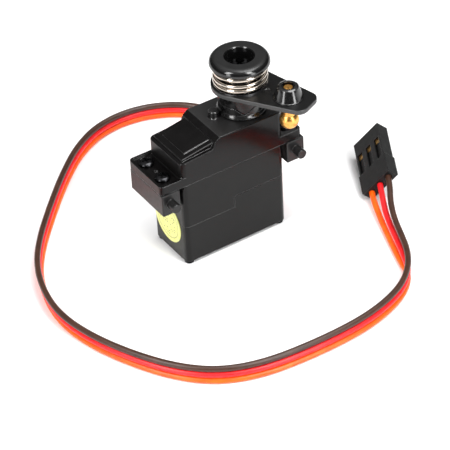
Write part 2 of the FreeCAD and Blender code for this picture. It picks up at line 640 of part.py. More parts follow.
# ----------------------------------------------------------- output bearing
def turned(label, points, x=None, y=None, angle=None, side=0):
    b = new_body(label, x=d("axis_x") if x is None else x, y=d("axis_y") if y is None else y, angle=angle)
    sk = sketch_on(b, "XZ_Plane", side=side)
    polygon(sk, points)
    spun(b, sk)
    return b


keep(turned("bearing_outer_ring", [
    (d("outer_race_in"), d("race_low")), (d("outer_race_out"), d("race_low")), (d("outer_race_out"), d("race_high")), (d("outer_race_in"), d("race_high"))]))
keep(turned("bearing_inner_ring", [
    (d("shaft_round"), d("race_low")), (d("inner_race_out"), d("race_low")), (d("inner_race_out"), d("race_high")), (d("shaft_round"), d("race_high"))]))
# the balls sit in a thin cage, which makes them one piece
mid = (d("race_low") + d("race_high")) / 2
cage = turned("bearing_balls", [
    (d("ball_path") - 0.08, mid - 0.12), (d("ball_path") + 0.08, mid - 0.12), (d("ball_path") + 0.08, mid + 0.12), (d("ball_path") - 0.08, mid + 0.12)])
sk = sketch_on(cage, "XZ_Plane")
geo = sk.addGeometry(Part.ArcOfCircle(Part.Circle(Vector(val(d("ball_path")), val(mid), 0), Vector(0, 0, 1), val(d("ball_round"))), -math.pi / 2, math.pi / 2), False)
lin = sk.addGeometry(Part.LineSegment(Vector(val(d("ball_path")), val(mid) + val(d("ball_round")), 0), Vector(val(d("ball_path")), val(mid) - val(d("ball_round")), 0)), False)
sk.addConstraint(Sketcher.Constraint("Coincident", geo, 2, lin, 1))
sk.addConstraint(Sketcher.Constraint("Coincident", geo, 1, lin, 2))
sk.addConstraint(Sketcher.Constraint("Vertical", lin))
sk.addConstraint(Sketcher.Constraint("PointOnObject", geo, 3, lin))
fix_point(sk, geo, 3, d("ball_path"), mid)
i = sk.addConstraint(Sketcher.Constraint("Radius", geo, val(d("ball_round"))))
sk.renameConstraint(i, "ball")
sk.setExpression("Constraints.ball", d("ball_round").text)
ball = cage.newObject("PartDesign::Revolution", "Ball")
ball.Profile = sk
ball.ReferenceAxis = (sk, ["Edge2"])
ball.Angle = 360
cage.Tip = ball
doc.recompute()
ring = cage.newObject("PartDesign::PolarPattern", "BallRing")
ring.Originals = [ball]
ring.Axis = ([o for o in cage.Origin.OriginFeatures if o.Role == "Z_Axis"][0], [""])
ring.Angle = 360
ring.Occurrences = 9
cage.Tip = ring
keep(cage)

# --------------------------------------------------------------------- motor
can = turned("motor_can", [
    (d("motor_round") - d("motor_wall"), d("motor_low")), (d("motor_round"), d("motor_low")), (d("motor_round"), d("motor_high")),
    (d("motor_boss_round"), d("motor_high")), (d("motor_boss_round"), d("motor_boss_top")), (d("motor_shaft_round") + 0.05, d("motor_boss_top")),
    (d("motor_shaft_round") + 0.05, d("motor_high") - d("motor_wall")), (d("motor_round") - d("motor_wall"), d("motor_high") - d("motor_wall")),
], x=d("motor_x"))
keep(can)
keep(turned("motor_end_cap", [
    (d("motor_shaft_round") + 0.05, d("end_cap_low")), (d("motor_round") - 0.6, d("end_cap_low")), (d("motor_round") - 0.1, d("end_cap_low") + 0.4),
    (d("motor_round") - 0.1, d("motor_low")), (d("motor_shaft_round") + 0.05, d("motor_low"))], x=d("motor_x")))
keep(turned("motor_rotor", [
    (0, d("motor_shaft_low")), (d("motor_shaft_round"), d("motor_shaft_low")), (d("motor_shaft_round"), d("rotor_low")),
    (d("rotor_round"), d("rotor_low")), (d("rotor_round"), d("rotor_high")), (d("motor_shaft_round"), d("rotor_high")),
    (d("motor_shaft_round"), d("motor_shaft_high")), (0, d("motor_shaft_high"))], x=d("motor_x")))

# ------------------------------------------------- circuit board and its chip
board = doc.addObject("Part::Box", "Board")
board.Label = "circuit_board"
bind(board, "Length", d("board_right") - d("board_left"))
bind(board, "Width", d("board_back") - d("board_front"))
bind(board, "Height", d("board_high") - d("board_low"))
place(board, d("board_left"), d("board_front"), d("board_low"))
keep(board)
chip = doc.addObject("Part::Box", "Chip")
chip.Label = "driver_chip"
chip.Length, chip.Width, chip.Height = 4.0, 4.4, 1.1
place(chip, d("axis_x") - 3.0, d("axis_y") - 2.4, d("board_high"))
keep(chip)

# ------------------------------------------------------------- potentiometer
keep(turned("pot_body", [
    (0, d("pot_low")), (d("pot_round"), d("pot_low")), (d("pot_round"), d("pot_high")), (d("pot_shaft_round") + 0.06, d("pot_high")),
    (d("pot_shaft_round") + 0.06, d("wiper_high") + 0.5), (d("pot_round") - d("pot_wall"), d("wiper_high") + 0.5),
    (d("pot_round") - d("pot_wall"), d("wiper_low") - 0.5), (0, d("wiper_low") - 0.5)]))
keep(turned("pot_wiper", [
    (0, d("wiper_low")), (d("wiper_round"), d("wiper_low")), (d("wiper_round"), d("wiper_high")), (d("pot_shaft_round"), d("wiper_high")),
    (d("pot_shaft_round"), d("pot_shaft_top")), (0, d("pot_shaft_top"))]))

# --------------------------------------------------------------- servo saver
# Hub on the output shaft: a rounded drum with two V notches and a long post.
hub = turned("saver_hub", [
    (0, d("hub_low")), (d("flange_round"), d("hub_low")), (d("flange_round"), d("flange_high") - d("flange_edge") - 0.08), (d("flange_round") - 0.06, d("flange_high") - d("flange_edge") + 0.06),
    (d("hub_round") + 0.04, d("flange_high") - 0.03), (d("hub_round"), d("flange_high") + 0.06),
    (d("hub_round"), d("hub_high")), (d("post_round"), d("hub_high")),
    (d("post_round"), d("post_high")), (0, d("post_high"))], angle=d("arm_angle"))
dress(hub, "Fillet", d("hub_edge"), lambda e: level(e, d("hub_low")) and e.BoundBox.XLength > 9)
drill(hub, d("screw_pass"), d("hub_low") - 1, d("post_high") + 1)
drill(hub, d("hub_bore"), d("hub_low") - 1, d("hub_bore_top"))
drop = d("hub_high") - d("vee_tip")
sk = sketch_on(hub, "XZ_Plane", turn=val(d("vee_turn")) + 90)
polygon(sk, [
    (-(d("vee_half") + d("vee_play") * 2.4), d("hub_high") + 0.2), (-(d("vee_half") + d("vee_play")), d("hub_high")), (0, d("vee_tip") - d("vee_play") * 1.3),
    (d("vee_half") + d("vee_play"), d("hub_high")), (d("vee_half") + d("vee_play") * 2.4, d("hub_high") + 0.2)])
# the notches are cut in two halves so that the post stays whole
for back in (False, True):
    if back:
        sk2 = sketch_on(hub, "XZ_Plane", turn=val(d("vee_turn")) + 90)
        polygon(sk2, [
            (-(d("vee_half") + d("vee_play") * 2.4), d("hub_high") + 0.2), (-(d("vee_half") + d("vee_play")), d("hub_high")), (0, d("vee_tip") - d("vee_play") * 1.3),
            (d("vee_half") + d("vee_play"), d("hub_high")), (d("vee_half") + d("vee_play") * 2.4, d("hub_high") + 0.2)])
        bind(sk2, "AttachmentOffset.Base.z", Q(0, "0"))
        pocket(hub, sk2, 5.5, back=True)
    else:
        pocket(hub, sk, 5.5)
# the post is put back where the notches crossed it
sk = sketch_on(hub, height=d("vee_tip") - 0.4)
circle(sk, 0, 0, d("post_round"))
circle(sk, 0, 0, d("hub_bore"))
pad(hub, sk, d("hub_high") - d("vee_tip") + 0.6)
keep(hub)

# The arm: a flat tapered plate with a drum below that has two V teeth.
arm = new_body("saver_arm", x=d("axis_x"), y=d("axis_y"), angle=d("arm_angle"))
sk = sketch_on(arm, height=d("arm_low"))
circle(sk, 0, 0, d("arm_round"))
pad(arm, sk, d("arm_high") - d("arm_low"))
sk = sketch_on(arm, height=d("arm_low"))
polygon(sk, [
    (0, -d("arm_tangent_y") + 0.6), (d("arm_tangent_x"), -d("arm_tangent_y")), (d("arm_end"), -d("arm_end_half")),
    (d("arm_end"), d("arm_end_half")), (d("arm_tangent_x"), d("arm_tangent_y")), (0, d("arm_tangent_y") - 0.6)])
pad(arm, sk, d("arm_high") - d("arm_low"))
dress(arm, "Fillet", d("arm_corner"), lambda e: upright(e) and near(e.Vertexes[0].X, d("arm_end")))
sk = sketch_on(arm, height=d("cam_low"))
circle(sk, 0, 0, d("hub_round"))
pad(arm, sk, d("arm_low") - d("cam_low") + 0.2)
sk = sketch_on(arm, "XZ_Plane", turn=val(d("vee_turn")) + 90)
slope = drop / d("vee_half")
polygon(sk, [
    (-(d("vee_half")), d("cam_low") + 0.0), (0, d("vee_tip") + 0.09), (d("vee_half"), d("cam_low") + 0.0),
    (d("vee_half"), d("cam_low") + 0.3), (-(d("vee_half")), d("cam_low") + 0.3)])
pad(arm, sk, d("hub_round") * 2 + 2, both=True)
doc.recompute()
sk = sketch_on(arm, "XZ_Plane")
polygon(sk, [(d("hub_round"), d("vee_tip") - 1), (d("hub_round") + 3, d("vee_tip") - 1), (d("hub_round") + 3, d("arm_low")), (d("hub_round"), d("arm_low"))])
spun(arm, sk, "Groove")
drill(arm, d("arm_bore"), d("vee_tip") - 1, d("arm_high") + 1)
sk = sketch_on(arm, height=d("arm_low") - 1)
circle(sk, d("stud_reach"), 0, d("stud_hole"))
pocket(arm, sk, 3, back=True)
sk = sketch_on(arm, height=d("arm_high") - d("dimple_depth"))
circle(sk, d("dimple_reach"), d("dimple_side"), d("dimple_round"))
pocket(arm, sk, 1, back=True)
dress(arm, "Fillet", 0.14, lambda e: level(e, d("arm_high")) and (e.BoundBox.XMax > 11.8 or (straight(e) and e.Length > 8) or e.BoundBox.XMin < -5))
keep(arm)

# thin washer between the arm and the spring
keep(turned("spring_washer", [
    (d("washer_in"), d("washer_low")), (d("washer_out"), d("washer_low")), (d("washer_out"), d("washer_high")), (d("washer_in"), d("washer_high"))]))

# round wire spring
spring = new_body("saver_spring", x=d("axis_x"), y=d("axis_y"))
sk = sketch_on(spring, "XZ_Plane")
low_wire = d("washer_high") + d("wire_round") + 0.02
circle(sk, d("spring_round"), low_wire, d("wire_round"))
coil = spring.newObject("PartDesign::AdditiveHelix", "Coil")
coil.Profile = sk
coil.ReferenceAxis = (sk, ["V_Axis"])
rise = d("cap_under") - d("wire_round") - 0.02 - low_wire
coil.Mode = 1
bind(coil, "Pitch", rise / d("spring_turns"))
bind(coil, "Turns", d("spring_turns"))
spring.Tip = coil
keep(spring)

# cap: a flanged bush that holds the spring down on the post
cap = turned("saver_cap", [
    (d("post_round"), d("cap_neck_low")), (d("cap_neck_round"), d("cap_neck_low")), (d("cap_neck_round"), d("cap_under")),
    (d("cap_under_round"), d("cap_under")), (d("cap_under_round") + 0.16, d("cap_under") + 0.10), (d("cap_round") - 0.26, d("cap_wide_low")), (d("cap_round"), d("cap_wide_high")),
    (d("cap_round"), d("cap_top")), (d("cap_hole_mouth"), d("cap_top")), (d("cap_hole"), d("cap_top") - 0.2),
    (d("cap_hole"), d("post_high")), (d("post_round"), d("post_high"))])
dress(cap, "Fillet", d("cap_edge"), lambda e: level(e, d("cap_top")) and e.BoundBox.XLength > 11)
keep(cap)

# screw that holds the saver on the output shaft
screw = turned("horn_screw", [
    (0, d("horn_shank_low")), (d("horn_shank_round"), d("horn_shank_low") + 0.3), (d("horn_shank_round"), d("post_high")),
    (d("horn_head_round"), d("post_high")), (d("horn_head_round"), d("post_high") + 0.5), (d("horn_head_round") - 0.35, d("horn_head_top") - 0.15), (0, d("horn_head_top"))])
for turn in (12, 102):
    sk = sketch_on(screw, height=d("horn_head_top") - 0.6, turn=turn)
    polygon(sk, [(-1.15, -0.22), (1.15, -0.22), (1.15, 0.22), (-1.15, 0.22)])
    pocket(screw, sk, 1.5, back=True)
keep(screw)

# ------------------------------------------------------- ball stud and nut
stud = new_body("ball_stud", x=d("axis_x"), y=d("axis_y"), angle=d("arm_angle"))
sk = sketch_on(stud, "XZ_Plane", side=d("stud_reach"))
ball_r, ball_z = val(d("ball_size")), val(d("ball_height"))
neck = val(d("neck_round"))
join_z = ball_z + math.sqrt(ball_r ** 2 - neck ** 2)
a1 = math.atan2(join_z - ball_z, neck)
arc = sk.addGeometry(Part.ArcOfCircle(Part.Circle(Vector(0, ball_z, 0), Vector(0, 0, 1), ball_r), -math.pi / 2, a1), False)
sk.addConstraint(Sketcher.Constraint("PointOnObject", arc, 3, -2))
sk.addConstraint(Sketcher.Constraint("PointOnObject", arc, 1, -2))
i = sk.addConstraint(Sketcher.Constraint("DistanceY", -1, 1, arc, 3, ball_z))
sk.renameConstraint(i, "ball_z")
sk.setExpression("Constraints.ball_z", d("ball_height").text)
i = sk.addConstraint(Sketcher.Constraint("Radius", arc, ball_r))
sk.renameConstraint(i, "ball_r")
sk.setExpression("Constraints.ball_r", d("ball_size").text)
outline = [
    (d("neck_round"), d("collar_taper")), (d("collar_round"), d("collar_low")), (d("collar_round"), d("arm_low") - 0.02),
    (d("stud_round"), d("arm_low") - 0.02), (d("stud_round"), d("stud_top") - 0.12), (d("stud_round") - 0.12, d("stud_top")), (0, d("stud_top"))]
last = (neck, join_z)
prev = arc
for k, (x, y) in enumerate(outline):
    g = sk.addGeometry(Part.LineSegment(Vector(last[0], last[1], 0), Vector(val(x), val(y), 0)), False)
    sk.addConstraint(Sketcher.Constraint("Coincident", prev, 2, g, 1))
    fix_point(sk, g, 2, x, y)
    last, prev = (val(x), val(y)), g
g = sk.addGeometry(Part.LineSegment(Vector(0, last[1], 0), Vector(0, ball_z - ball_r, 0)), False)
sk.addConstraint(Sketcher.Constraint("Coincident", prev, 2, g, 1))
sk.addConstraint(Sketcher.Constraint("Coincident", g, 2, arc, 1))
i = sk.addConstraint(Sketcher.Constraint("DistanceX", -1, 1, arc, 2, neck))
sk.renameConstraint(i, "neck_x")
sk.setExpression("Constraints.neck_x", d("neck_round").text)
spun(stud, sk)
keep(stud)

nut = new_body("cone_nut", x=d("axis_x"), y=d("axis_y"), angle=d("arm_angle"))
sk = sketch_on(nut, "XZ_Plane", side=d("stud_reach"))
base = d("arm_high") + 0.01
polygon(sk, [
    (d("stud_round"), base), (d("nut_base"), base), (d("nut_base"), base + d("nut_lip") * 0.7), (d("nut_waist"), base + d("nut_lip")), (d("nut_top_round") + 0.46, d("nut_high") - 0.52), (d("nut_top_round") + 0.32, d("nut_high") - 0.17),
    (d("nut_top_round"), d("nut_high")), (d("nut_hole"), d("nut_high")), (d("nut_hole"), d("nut_hole_low")), (d("stud_round"), d("nut_hole_low"))])
spun(nut, sk)
keep(nut)

# ------------------------------------------------------------------ label
label = doc.addObject("Part::Cylinder", "Label")
label.Label = "round_label"
bind(label, "Radius", d("label_round"))
bind(label, "Height", d("label_thick"))
label.Placement = Placement(Vector(0, 0, 0), Rotation(Vector(0, 1, 0), -90))
bind(label, "Placement.Base.x", d("case_left"))
bind(label, "Placement.Base.y", d("label_y"))
bind(label, "Placement.Base.z", d("label_height"))
keep(label)

# --------------------------------------------------------------- lead grommet
grommet = new_body("lead_grommet")
low = d("grommet_height") - d("grommet_half_height")
sk = sketch_on(grommet, height=low)
rectangle(sk, d("grommet_in"), d("grommet_y") - d("grommet_half_y"), d("grommet_out"), d("grommet_y") + d("grommet_half_y"))
pad(grommet, sk, d("grommet_half_height") * 2)
dress(grommet, "Fillet", 0.25, lambda e: near(e.BoundBox.XMin, d("grommet_out")) and near(e.BoundBox.XMax, d("grommet_out")))
keep(grommet)

# --------------------------------------------------------------------- plug
# Its own frame: X across the three ways, Y from the open end to the wires and
# Z from the face with the slots to the plain face. It lies tilted on the floor.
across = Vector(0.5267, -0.3639, 0.7683).normalize()
along = Vector(-0.4728, -0.8765, -0.0910)
along = (along - across * along.dot(across)).normalize()
through = across.cross(along)
plug_at = Placement(FreeCAD.Matrix(
    across.x, along.x, through.x, 34.09,
    across.y, along.y, through.y, 7.88,
    across.z, along.z, through.z, 3.02, 0, 0, 0, 1))

# the lowest corner of the plug touches the standing surface
corner_z = min(
    plug_at.multVec(Vector(a * val(d("plug_wide")) , b, c * val(d("plug_thick")))).z
    for a in (0, 1) for b in (0, val(d("plug_long"))) for c in (0, 1))
plug_at.Base = plug_at.Base + Vector(0, 0, 0.02 - corner_z)

plug = doc.addObject("PartDesign::Body", "Body_plug_housing")
plug.Label = "plug_housing"
plug.Placement = plug_at
sk = sketch_on(plug, height=0)
rectangle(sk, d("plug_step"), 0, d("plug_wide") - d("plug_step"), d("plug_long"))
pad(plug, sk, d("plug_thick"))
sk = sketch_on(plug, height=0)
rectangle(sk, 0, d("plug_shoulder"), d("plug_wide"), d("plug_long"))
pad(plug, sk, d("plug_thick"))
middles = [d("plug_wide") / 2 + d("plug_pitch") * (k - 1) for k in range(3)]
half = d("socket_size") / 2
dress(plug, "Chamfer", 0.12, lambda e: e.BoundBox.YLength < 1e-6 and (near(e.BoundBox.YMin, 0) or near(e.BoundBox.YMin, d("plug_long"))))
# the ways that the contacts sit in, right through the length
sk = sketch_on(plug, "XZ_Plane", height=1)
for cx in middles:
    rectangle(sk, cx - half, d("plug_thick") / 2 - half, cx + half, d("plug_thick") / 2 + half)
pocket(plug, sk, d("plug_long") + 2)
# round wire entries
sk = sketch_on(plug, "XZ_Plane", height=-d("plug_long") - 1)
for cx in middles:
    circle(sk, cx, d("plug_thick") * 0.5, 0.72)
pocket(plug, sk, 3.0, back=True)
# the slots on the face, each with its latch tongue left in it
sk = sketch_on(plug, height=-0.5)
w = d("slot_wide") / 2
for cx in middles:
    rectangle(sk, cx - w, d("slot_start"), cx + w, d("slot_end"))
pocket(plug, sk, d("slot_depth") + 0.5, back=True)
sk = sketch_on(plug, height=d("tongue_low"))
for cx in middles:
    rectangle(sk, cx - w + 0.2, d("tongue_start"), cx + w - 0.2, d("slot_end") + 0.2)
pad(plug, sk, 0.35)
keep(plug)
for k in range(3):
    side = 0.88
    bar = doc.addObject("Part::Box", "ContactBar%d" % (k + 1))
    bind(bar, "Length", d("contact_size"))
    bind(bar, "Height", d("contact_size"))
    bind(bar, "Width", d("contact_long") - 2.2)
    off = Vector(val(d("plug_wide")) / 2 + val(d("plug_pitch")) * (k - 1) - side / 2, 0.9, val(d("plug_thick")) / 2 - side / 2)
    bar.Placement = Placement(plug_at.multVec(off), plug_at.Rotation)
    # the raised lance that the housing's latch holds, seen at the end of the slot
    lance = doc.addObject("Part::Box", "ContactLance%d" % (k + 1))
    bind(lance, "Length", d("lance_wide"))
    bind(lance, "Width", d("lance_long"))
    bind(lance, "Height", d("plug_thick") / 2 - d("contact_size") / 2 - d("lance_low") + 0.1)
    off = Vector(val(d("plug_wide")) / 2 + val(d("plug_pitch")) * (k - 1) - val(d("lance_wide")) / 2, val(d("slot_start")) + 0.06, val(d("lance_low")))
    lance.Placement = Placement(plug_at.multVec(off), plug_at.Rotation)
    contact = doc.addObject("Part::Fuse", "Contact%d" % (k + 1))
    contact.Base = bar
    contact.Tool = lance
    contact.Label = "plug_contact_%d" % (k + 1)
    doc.recompute()
    keep(contact)


# --------------------------------------------------------------------- lead
def tube(label, route, radius):
    """A round wire along straight runs joined by tangent arcs."""
    pts = [Vector(*p) for p in route]
    edges, at, radii = [], pts[0], []
    for i in range(1, len(pts) - 1):
        a, b, c = pts[i - 1], pts[i], pts[i + 1]
        u, w = (b - a), (c - b)
        run = min(u.Length, w.Length)
        u, w = u / u.Length, w / w.Length
        turn = math.acos(max(-1.0, min(1.0, u.dot(w))))
        if turn < math.radians(0.3):
            raise RuntimeError("%s point %d is in line with its neighbours" % (label, i))
        back = 0.45 * run
        bend = back / math.tan(turn / 2)
        radii.append(bend)
        start, stop = b - u * back, b + w * back
        inner = (w - u)
        inner = inner / inner.Length
        middle_pt = b + inner * (bend / math.cos(turn / 2) - bend)
        edges.append(Part.LineSegment(at, start).toShape())
        edges.append(Part.Arc(start, middle_pt, stop).toShape())
        at = stop
    edges.append(Part.LineSegment(at, pts[-1]).toShape())
    path = Part.Wire(edges)
    first_dir = (pts[1] - pts[0])
    ring = Part.Wire([Part.Circle(pts[0], first_dir, radius).toShape()])
    solid = path.makePipeShell([ring], True, False)
    want = math.pi * radius ** 2 * path.Length
    print("%s: length %.1f mm, smallest radius %.1f, volume %.2f of %.2f" % (label, path.Length, min(radii), solid.Volume, want))
    print("   radii " + " ".join("%.0f" % r for r in radii))
    runs = [(pts[i + 1] - pts[i]).Length for i in range(len(pts) - 1)]
    print("   runs " + " ".join("%.1f" % r for r in runs))
    if abs(solid.Volume - want) > 0.02 * want:
        raise RuntimeError(label + " volume is off")
    obj = doc.addObject("Part::Feature", "Tube_" + label)
    obj.Label = label
    obj.Shape = solid
    obj.Placement = Placement()
    return obj


# Shared route of the flat three-wire lead, seen from above, from the grommet
# round the back and the motor end to the front.
SPINE = [
    (12.32, 6.20), (13.80, 6.21), (15.21, 6.71), (16.36, 7.68), (17.21, 9.15), (17.95, 12.23), (18.45, 17.80), (19.00, 24.60), (19.05, 31.00), (17.94, 36.60),
    (12.90, 42.30), (5.30, 45.60), (-3.10, 45.40), (-10.70, 41.60), (-18.00, 35.20), (-25.30, 27.60), (-32.20, 19.80), (-36.75, 13.00),
    (-39.50, 5.20), (-40.30, -2.40), (-38.70, -10.60), (-35.20, -19.20), (-30.60, -27.00), (-24.90, -32.60), (-17.20, -35.60),
    (-7.60, -36.55), (2.40, -36.50), (9.60, -35.30), (15.90, -32.90), (20.30, -29.20),
]
# Sideways lean of the lower wires, for each step down, along the route.
LEAN = [
    (0, 0), (0, 0), (0, 0), (0, 0), (0, 0), (0, 0), (0, 0), (0, 0), (0, 0), (0, 0),
    (0, 0), (0, 0), (0.05, -0.05), (0.1, -0.1), (0.15, -0.1), (0.2, -0.1), (0.25, -0.05), (0.25, 0),
    (0.2, 0), (0.1, 0), (0, 0), (-0.05, -0.05), (-0.1, -0.1), (-0.1, -0.15), (-0.05, -0.2),
    (0, -0.2), (0.05, -0.2), (0.1, -0.15), (0.15, -0.1), (0.1, 0),
]
HEIGHTS = {"brown": 3.10, "red": 1.86, "orange": 0.62}
STEPS = {"brown": 0, "red": 1, "orange": 2}
TAILS = {
    "brown": [(23.00, -25.20, 3.12), (24.60, -21.10, 3.42), (25.95, -17.20, 3.95), (27.90, -13.20, 4.75)],
    "red": [(22.20, -25.20, 1.88), (24.05, -20.60, 1.95), (25.55, -16.20, 2.22), (27.20, -12.30, 2.85)],
    "orange": [(21.55, -25.10, 0.63), (23.20, -20.40, 0.64), (24.85, -15.80, 0.78), (26.45, -11.50, 1.12)],
}
ENTRY = {"orange": 0, "red": 1, "brown": 2}
for wire_name in ("brown", "red", "orange"):
    z, step = HEIGHTS[wire_name], STEPS[wire_name]
    route = []
    for i, ((x, y), (lx, ly)) in enumerate(zip(SPINE, LEAN)):
        lift = [1.68, 1.67, 1.55, 1.34, 1.08, 0.60, 0.17, 0.02][i] if i < 8 else 0
        route.append((x + lx * step, y + ly * step, z + lift))
    route += TAILS[wire_name]
    # the last run lies on the axis of the wire's entry in the plug
    k = ENTRY[wire_name]
    end = plug_at.multVec(Vector(val(d("plug_wide")) / 2 + val(d("plug_pitch")) * (k - 1), val(d("plug_long")) - 2.0, val(d("plug_thick")) * 0.5))
    out = plug_at.multVec(Vector(val(d("plug_wide")) / 2 + val(d("plug_pitch")) * (k - 1), val(d("plug_long")) + 1.9, val(d("plug_thick")) * 0.5))
    route.append((out.x, out.y, out.z))
    route.append((end.x, end.y, end.z))
    keep(tube("lead_" + wire_name, route, val(d("lead_round"))))

# ------------------------------------------------------------ check and write
doc.recompute()
for obj in doc.Objects:
    if "Invalid" in obj.State or "Error" in obj.State:
        raise RuntimeError("%s (%s) failed: %s" % (obj.Name, obj.Label, obj.State))
labels = [obj.Label for obj in PARTS]
if len(set(labels)) != len(labels):
    raise RuntimeError("two sub-parts share a name")
os.makedirs("parts", exist_ok=True)
for obj in PARTS:
    shape = obj.Shape
    if shape.isNull() or not shape.isValid() or len(shape.Solids) != 1 or shape.Volume <= 0:
        for one in shape.Solids:
            print(one.Volume, one.BoundBox)
        raise RuntimeError("%s has no valid single solid (%d)" % (obj.Label, len(shape.Solids)))
for obj in PARTS:
    obj.Shape.exportStep("parts/%s.step" % obj.Label)
print("%d sub-parts written" % len(PARTS))
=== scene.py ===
import math

import bmesh
import bpy
from mathutils import Matrix, Vector


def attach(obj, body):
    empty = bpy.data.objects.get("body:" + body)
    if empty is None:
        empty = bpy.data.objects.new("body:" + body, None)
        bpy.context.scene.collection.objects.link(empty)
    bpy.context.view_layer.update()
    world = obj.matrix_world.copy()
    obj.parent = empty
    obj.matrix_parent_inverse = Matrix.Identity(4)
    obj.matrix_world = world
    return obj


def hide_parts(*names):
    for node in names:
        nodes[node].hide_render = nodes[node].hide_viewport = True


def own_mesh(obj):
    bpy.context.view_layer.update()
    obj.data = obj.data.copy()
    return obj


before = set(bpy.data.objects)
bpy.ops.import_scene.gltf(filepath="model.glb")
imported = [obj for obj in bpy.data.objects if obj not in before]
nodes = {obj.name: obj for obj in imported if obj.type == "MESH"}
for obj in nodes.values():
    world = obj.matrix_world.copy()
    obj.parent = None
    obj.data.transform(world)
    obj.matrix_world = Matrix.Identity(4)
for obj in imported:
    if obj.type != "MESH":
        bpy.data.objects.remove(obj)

MM = 0.001
scene = bpy.context.scene

# the factory file's own cube, lamp and camera go first, so that the CAD box is the object's alone
for name in ("Cube", "Light", "Camera"):
    old = bpy.data.objects.get(name)
    if old is not None:
        bpy.data.objects.remove(old)
bpy.context.view_layer.update()

# ------------------------------------------------------------------ camera
cam_data = bpy.data.cameras.new("camera")
camera = bpy.data.objects.new("camera", cam_data)
scene.collection.objects.link(camera)
cam_data.sensor_width = 36.0
cam_data.lens = 184.97
cam_data.clip_start = 0.01
cam_data.clip_end = 20.0
cam_x = Vector((0.83365, -0.55054, -0.04385)).normalized()
cam_z = Vector((-0.40867, -0.66833, 0.62155)).normalized()
cam_y = cam_z.cross(cam_x).normalized()
cam_x = cam_y.cross(cam_z)
camera.matrix_world = Matrix((
    (cam_x.x, cam_y.x, cam_z.x, -184.35 * MM),
    (cam_x.y, cam_y.y, cam_z.y, -298.26 * MM),
    (cam_x.z, cam_y.z, cam_z.z, 282.21 * MM),
    (0, 0, 0, 1),
))
scene.camera = camera


# --------------------------------------------------------------- materials
def shader(name):
    """A new material with its Principled shader, and a mapping that counts in millimetres."""
    m = bpy.data.materials.new(name)
    m.use_nodes = True
    nt = m.node_tree
    p = nt.nodes["Principled BSDF"]
    tc = nt.nodes.new("ShaderNodeTexCoord")
    mp = nt.nodes.new("ShaderNodeMapping")
    mp.inputs["Scale"].default_value = (1000, 1000, 1000)
    nt.links.new(tc.outputs["Object"], mp.inputs["Vector"])
    return m, nt, p, mp.outputs["Vector"]


def lin(c):
    """Linear value of an 8-bit sRGB colour."""
    out = []
    for v in c:
        v /= 255.0
        out.append(v / 12.92 if v <= 0.04045 else ((v + 0.055) / 1.055) ** 2.4)
    return (*out, 1.0)


def noise(nt, vec, scale, detail=3.0, rough=0.55, distort=0.0):
    n = nt.nodes.new("ShaderNodeTexNoise")
    n.inputs["Scale"].default_value = scale
    n.inputs["Detail"].default_value = detail
    n.inputs["Roughness"].default_value = rough
    n.inputs["Distortion"].default_value = distort
    nt.links.new(vec, n.inputs["Vector"])
    return n.outputs["Fac"]


def ramp(nt, fac, stops):
    r = nt.nodes.new("ShaderNodeValToRGB")
    e = r.color_ramp.elements
    while len(e) < len(stops):
        e.new(0.5)
    for el, (at, col) in zip(e, stops):
        el.position = at
        el.color = col
    nt.links.new(fac, r.inputs["Fac"])
    return r.outputs["Color"]


def spread(nt, fac, lo, hi, out_lo, out_hi):
    r = nt.nodes.new("ShaderNodeMapRange")
    r.inputs["From Min"].default_value = lo
    r.inputs["From Max"].default_value = hi
    r.inputs["To Min"].default_value = out_lo
    r.inputs["To Max"].default_value = out_hi
    nt.links.new(fac, r.inputs["Value"])
    return r.outputs["Result"]


def maths(nt, op, a, b=None, clamp=False):
    n = nt.nodes.new("ShaderNodeMath")
    n.operation = op
    n.use_clamp = clamp
    for i, v in enumerate((a, b)):
        if v is None:
            continue
        if isinstance(v, (int, float)):
            n.inputs[i].default_value = v
        else:
            nt.links.new(v, n.inputs[i])
    return n.outputs[0]


def rounded(nt, edge):
    """Shading normal with the sharp edges rounded by edge mm, and how much of a corner the point is, from 0 to 1."""
    bevel = nt.nodes.new("ShaderNodeBevel")
    bevel.samples = 6
    bevel.inputs["Radius"].default_value = edge * MM
    g = nt.nodes.new("ShaderNodeNewGeometry")
    dot = nt.nodes.new("ShaderNodeVectorMath")
    dot.operation = "DOT_PRODUCT"
    nt.links.new(bevel.outputs["Normal"], dot.inputs[0])
    nt.links.new(g.outputs["Normal"], dot.inputs[1])
    return bevel.outputs["Normal"], spread(nt, dot.outputs["Value"], 0.995, 0.90, 0.0, 1.0)


def bumps(nt, heights, p, start=None):
    """Bump nodes one after another: (height, distance in mm, strength). start is the normal they begin from."""
    last = start
    for h, dist, strength in heights:
        b = nt.nodes.new("ShaderNodeBump")
        b.inputs["Distance"].default_value = dist * MM
        b.inputs["Strength"].default_value = strength
        nt.links.new(h, b.inputs["Height"])
        if last is not None:
            nt.links.new(last, b.inputs["Normal"])
        last = b.outputs["Normal"]
    nt.links.new(last, p.inputs["Normal"])


def up_facing(nt):
    """How far a face looks up, from 0 on the walls to 1 on the tops."""
    g = nt.nodes.new("ShaderNodeNewGeometry")
    s = nt.nodes.new("ShaderNodeSeparateXYZ")
    nt.links.new(g.outputs["Normal"], s.inputs["Vector"])
    return spread(nt, s.outputs["Z"], 0.75, 0.97, 0.0, 1.0)


def blend(nt, t, a, b):
    """a where t is 0 and b where t is 1; each is a number or a socket."""
    mix = nt.nodes.new("ShaderNodeMix")
    mix.data_type = "FLOAT"
    nt.links.new(t, mix.inputs[0])
    for i, v in ((2, a), (3, b)):
        if isinstance(v, (int, float)):
            mix.inputs[i].default_value = v
        else:
            nt.links.new(v, mix.inputs[i])
    return mix.outputs[0]


